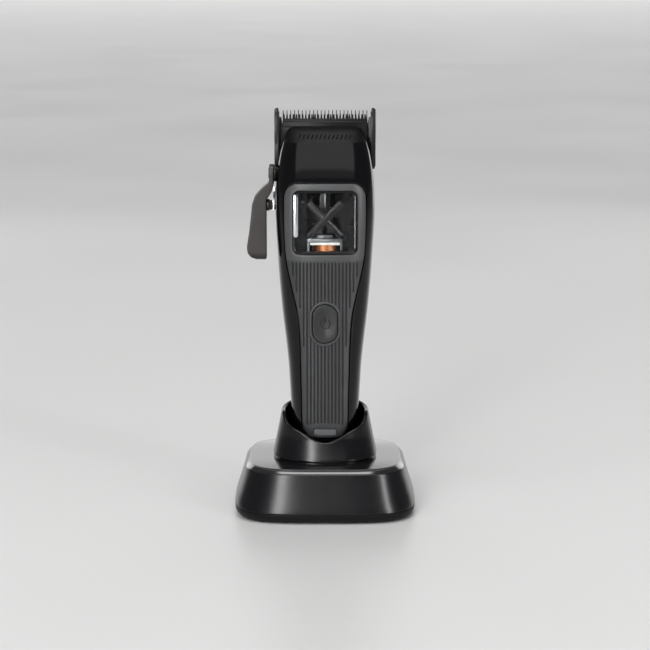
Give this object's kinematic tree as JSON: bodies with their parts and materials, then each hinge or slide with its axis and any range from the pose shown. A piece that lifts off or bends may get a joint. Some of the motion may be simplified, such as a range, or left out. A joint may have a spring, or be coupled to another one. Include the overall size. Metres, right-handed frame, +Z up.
{
  "type": "hair clipper",
  "caption": "Cordless hair clipper with a ribbed grip, a window on its swing-arm motor, a taper lever and a wide blade set, standing in its charging dock.",
  "frame": {"origin": "on the surface the dock stands on, under the middle of the dock", "axes": "+Z up along the clipper towards its blades, -Y the front with the button and the window, -X the side with the taper lever"},
  "size_m": [0.084, 0.076, 0.1862],
  "materials": {
    "gloss_black": "deep gloss",
    "grip_matte": "fine matte, ribbed",
    "button_matte": "fine matte",
    "clear_lens": "clear polycarbonate",
    "light_guide": "frosted",
    "dock_satin": "satin",
    "dock_plate": "polished",
    "base_matte": "matte",
    "foot_rubber": "matte",
    "dark_plastic": "moulded",
    "motor_black": "glass-filled nylon",
    "pale_plastic": "moulded acetal",
    "lever_satin": "satin black",
    "graphite_steel": "dark ground steel",
    "bright_steel": "machined",
    "plated_steel": "nickel plated",
    "spring_steel": "drawn wire",
    "arm_alloy": "machined",
    "copper_wire": "enamelled winding",
    "gold_contact": "gold plated",
    "circuit_board": "solder mask",
    "battery_wrap": "heat-shrink wrap"
  },
  "bodies": {
    "dock": {"dock_shell": "dock_satin", "dock_top_plate": "dock_plate", "dock_collar": "dock_satin", "contact_block": "dark_plastic", "pin_springs": "spring_steel", "dock_board": "circuit_board", "dock_inlet": "plated_steel", "dock_ballast": "plated_steel", "dock_bottom_cover": "base_matte", "dock_screws": "plated_steel", "dock_feet": "foot_rubber"},
    "charge_pins": {"charge_pins": "gold_contact"},
    "clipper": {"front_shell": "gloss_black", "rear_shell": "gloss_black", "grip_panel": "grip_matte", "window_bezel": "dark_plastic", "window_lens": "clear_lens", "button_gasket": "foot_rubber", "tact_switch": "plated_steel", "status_light": "light_guide", "main_board": "circuit_board", "board_chips": "dark_plastic", "battery_cell": "battery_wrap", "battery_cradle": "dark_plastic", "battery_tabs": "plated_steel", "end_cap": "gloss_black", "contact_pads": "gold_contact", "housing_screws": "plated_steel", "motor_frame": "motor_black", "motor_brace": "motor_black", "motor_screws": "plated_steel", "coil_winding": "copper_wire", "coil_bobbin": "pale_plastic", "stator_core": "bright_steel", "stator_yoke": "bright_steel", "pivot_pin": "bright_steel", "lever_bush": "dark_plastic", "detent_plate": "bright_steel"},
    "power_button": {"power_button": "button_matte", "switch_plunger": "pale_plastic"},
    "drive_arm": {"drive_arm": "arm_alloy", "arm_magnets": "bright_steel", "drive_tip": "bright_steel"},
    "cutter": {"cutter_blade": "graphite_steel", "cutter_yoke": "pale_plastic"},
    "blade_carrier": {"blade_carrier": "arm_alloy", "comb_blade": "graphite_steel", "blade_screws": "plated_steel", "tension_springs": "spring_steel"},
    "taper_lever": {"taper_lever": "lever_satin", "lever_screw": "plated_steel", "taper_cam": "bright_steel", "detent_knob": "lever_satin"}
  },
  "joints": [
    {"name": "clipper_lift", "type": "slide", "parent": "dock", "child": "clipper", "axis": [0, 0, 1], "range_m": [0, 0.04]},
    {"name": "pin_press", "type": "slide", "parent": "dock", "child": "charge_pins", "axis": [0, 0, 1], "range_m": [-0.0012, 0], "stiffness_N_per_m": 400, "springref_m": 0.001, "deforming": ["pin_springs"]},
    {"name": "button_press", "type": "slide", "parent": "clipper", "child": "power_button", "axis": [0, 1, 0], "range_m": [0, 0.0006], "stiffness_N_per_m": 1500, "springref_m": -0.0006},
    {"name": "lever_turn", "type": "hinge", "parent": "clipper", "child": "taper_lever", "pos_m": [-0.0235, -0.003, 0.1571], "axis": [1, 0, 0], "range_deg": [0, 40]},
    {"name": "carrier_slide", "type": "slide", "parent": "clipper", "child": "blade_carrier", "axis": [0, 0, 1], "range_m": [0, 0.00121]},
    {"name": "arm_swing", "type": "hinge", "parent": "clipper", "child": "drive_arm", "pos_m": [0, -0.0063, 0.1367], "axis": [0, 1, 0], "range_deg": [-2.5, 2.5], "stiffness_Nm_per_rad": 0.3},
    {"name": "cutter_slide", "type": "slide", "parent": "clipper", "child": "cutter", "axis": [1, 0, 0], "range_m": [-0.00142, 0.00142]}
  ],
  "couplings": [
    {"joint": "carrier_slide", "follows": "lever_turn", "m_per_rad": 0.001719},
    {"joint": "cutter_slide", "follows": "arm_swing", "m_per_rad": 0.0323}
  ]
}
